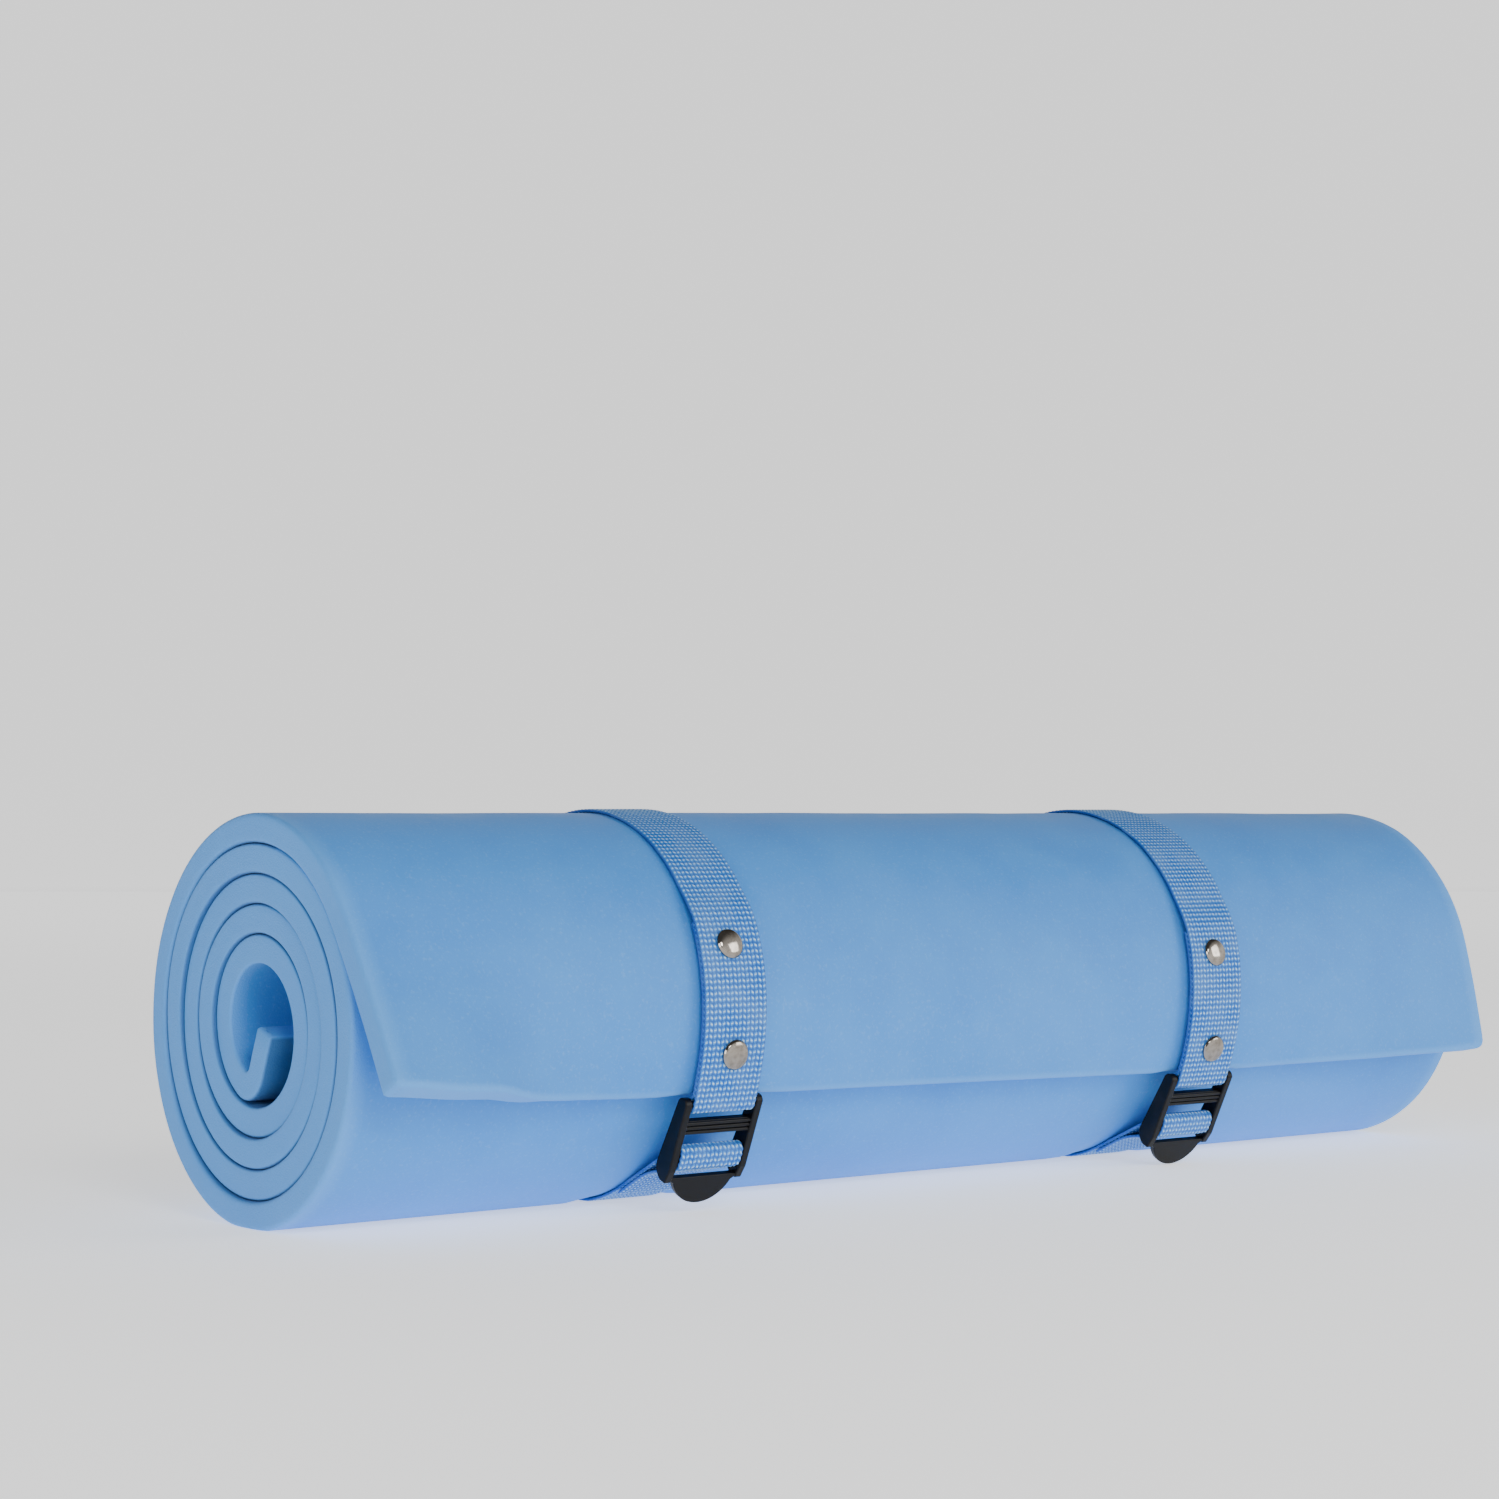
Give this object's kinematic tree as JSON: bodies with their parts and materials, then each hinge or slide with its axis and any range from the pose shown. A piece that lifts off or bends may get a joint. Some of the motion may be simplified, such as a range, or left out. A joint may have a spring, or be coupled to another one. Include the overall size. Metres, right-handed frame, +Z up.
{
  "type": "foam sleeping pad",
  "caption": "Rolled closed-cell foam sleeping pad with a free outer flap, held by webbing straps that close with riveted ladder-lock buckles.",
  "frame": {"origin": "on the floor under the middle of the rolled pad's box", "axes": "+X along the roll towards the right end, +Z up, -Y towards the flap and the buckles"},
  "size_m": [0.61, 0.167, 0.1569],
  "materials": {
    "foam": "matte",
    "webbing": "satin",
    "buckle_plastic": "satin",
    "rivet_metal": "polished"
  },
  "bodies": {
    "pad": {"foam_pad": "foam"},
    "left_strap": {"left_webbing": "webbing", "left_webbing_tail": "webbing", "left_upper_rivet_cap": "rivet_metal", "left_upper_rivet_back": "rivet_metal", "left_lower_rivet_cap": "rivet_metal", "left_lower_rivet_back": "rivet_metal"},
    "left_buckle": {"left_ladder_lock": "buckle_plastic", "left_webbing_wrap": "webbing"},
    "right_strap": {"right_webbing": "webbing", "right_webbing_tail": "webbing", "right_upper_rivet_cap": "rivet_metal", "right_upper_rivet_back": "rivet_metal", "right_lower_rivet_cap": "rivet_metal", "right_lower_rivet_back": "rivet_metal"},
    "right_buckle": {"right_ladder_lock": "buckle_plastic", "right_webbing_wrap": "webbing"}
  },
  "joints": [
    {"name": "left_strap_slide", "type": "slide", "parent": "pad", "child": "left_strap", "axis": [1, 0, 0], "range_m": [-0.19, 0.1]},
    {"name": "right_strap_slide", "type": "slide", "parent": "pad", "child": "right_strap", "axis": [1, 0, 0], "range_m": [-0.09, 0.205]},
    {"name": "left_buckle_tilt", "type": "hinge", "parent": "left_strap", "child": "left_buckle", "pos_m": [-0.1425, -0.07296, 0.04292], "axis": [-1, 0, 0], "range_deg": [0, 40]},
    {"name": "right_buckle_tilt", "type": "hinge", "parent": "right_strap", "child": "right_buckle", "pos_m": [0.1245, -0.07097, 0.03851], "axis": [-1, 0, 0], "range_deg": [0, 40]}
  ]
}
